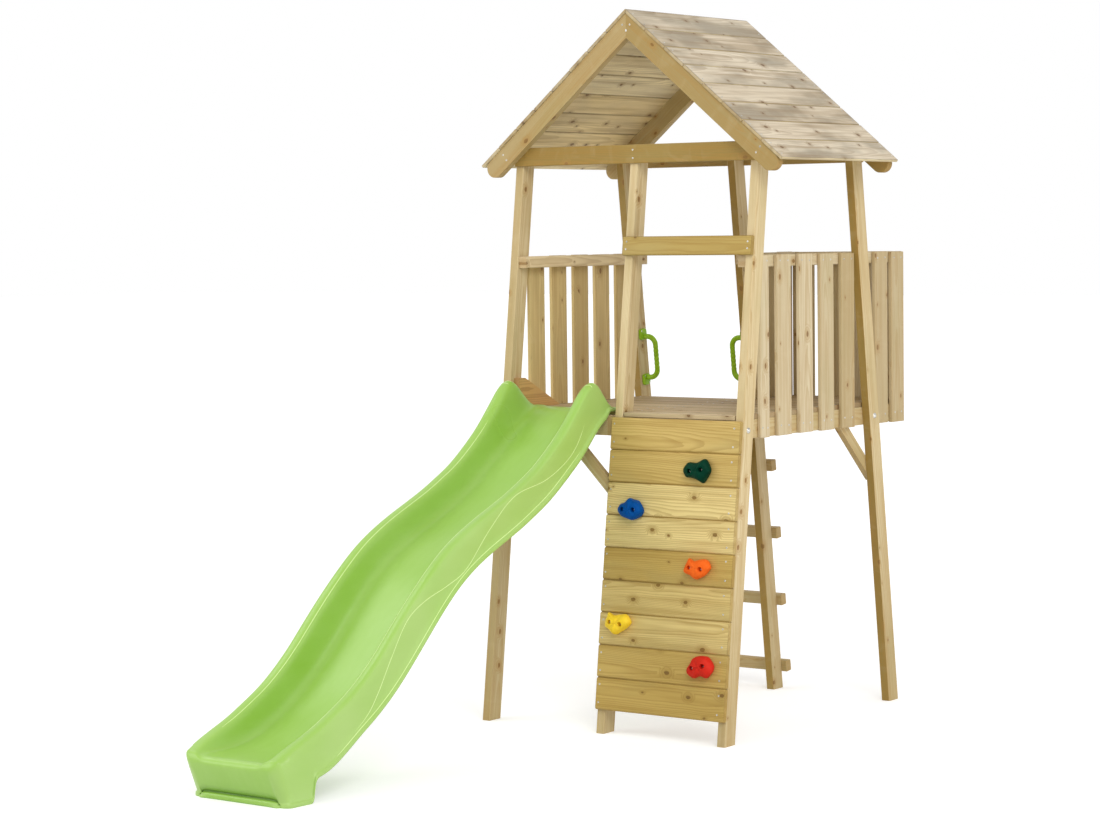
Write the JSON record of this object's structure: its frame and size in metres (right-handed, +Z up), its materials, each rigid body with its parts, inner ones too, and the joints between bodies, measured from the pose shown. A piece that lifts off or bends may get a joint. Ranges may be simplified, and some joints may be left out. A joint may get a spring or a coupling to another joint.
{
  "type": "wooden climbing frame",
  "caption": "Free-standing wooden climbing tower with leaning posts, gabled board roof, raised deck, wave slide, climbing wall with holds, ladder and slatted railings.",
  "frame": {"origin": "on the ground under the middle of the bounding box", "axes": "+Z up, the slide runs down towards -Y, +X is to the right seen from the slide's foot"},
  "size_m": [1.353, 3.0995, 2.6732],
  "materials": {
    "frame_timber": "planed treated softwood",
    "deck_wood": "sawn treated softwood",
    "wall_wood": "planed treated softwood",
    "railing_wood": "planed treated softwood",
    "roof_wood": "planed treated softwood",
    "wedge_wood": "planed treated softwood",
    "slide_plastic": "moulded satin",
    "handle_plastic": "moulded matt",
    "hold_green": "cast, rough",
    "hold_blue": "cast, rough",
    "hold_orange": "cast, rough",
    "hold_yellow": "cast, rough",
    "hold_red": "cast, rough",
    "bolt_steel": "zinc plated"
  },
  "bodies": {
    "root": {"post_front_left": "frame_timber", "post_back_left": "frame_timber", "post_front_middle": "frame_timber", "post_back_middle": "frame_timber", "post_front_right": "frame_timber", "post_back_right": "frame_timber", "joist_left": "frame_timber", "joist_middle_left": "frame_timber", "joist_middle_right": "frame_timber", "joist_right": "frame_timber", "fascia_slide": "frame_timber", "fascia_balcony": "frame_timber", "brace_front_left": "frame_timber", "brace_front_middle": "frame_timber", "brace_back_left": "frame_timber", "brace_back_middle": "frame_timber", "brace_back_right": "frame_timber", "deck_boards": "deck_wood", "deck_front_board": "deck_wood", "balcony_boards": "deck_wood", "wall_board_1": "wall_wood", "wall_board_2": "wall_wood", "wall_board_3": "wall_wood", "wall_board_4": "wall_wood", "wall_board_5": "wall_wood", "wall_board_6": "wall_wood", "wall_board_7": "wall_wood", "wall_board_8": "wall_wood", "wall_board_9": "wall_wood", "hold_green": "hold_green", "hold_blue": "hold_blue", "hold_orange": "hold_orange", "hold_yellow": "hold_yellow", "hold_red": "hold_red", "rung_1": "frame_timber", "rung_2": "frame_timber", "rung_3": "frame_timber", "rung_4": "frame_timber", "handle_left": "handle_plastic", "handle_right": "handle_plastic", "rail_left": "railing_wood", "rail_right": "railing_wood", "rail_balcony_side": "railing_wood", "rail_balcony_back": "railing_wood", "slats_left": "railing_wood", "slats_right": "railing_wood", "slats_balcony_side": "railing_wood", "slats_balcony_back": "railing_wood", "lintel": "wall_wood", "tie_front": "frame_timber", "tie_back": "frame_timber", "rafter_front_left": "frame_timber", "rafter_front_right": "frame_timber", "rafter_back_left": "frame_timber", "rafter_back_right": "frame_timber", "roof_boards_left": "roof_wood", "roof_boards_right": "roof_wood", "slide": "slide_plastic", "wedge_board": "wedge_wood", "post_bolts": "bolt_steel"}
  },
  "joints": []
}
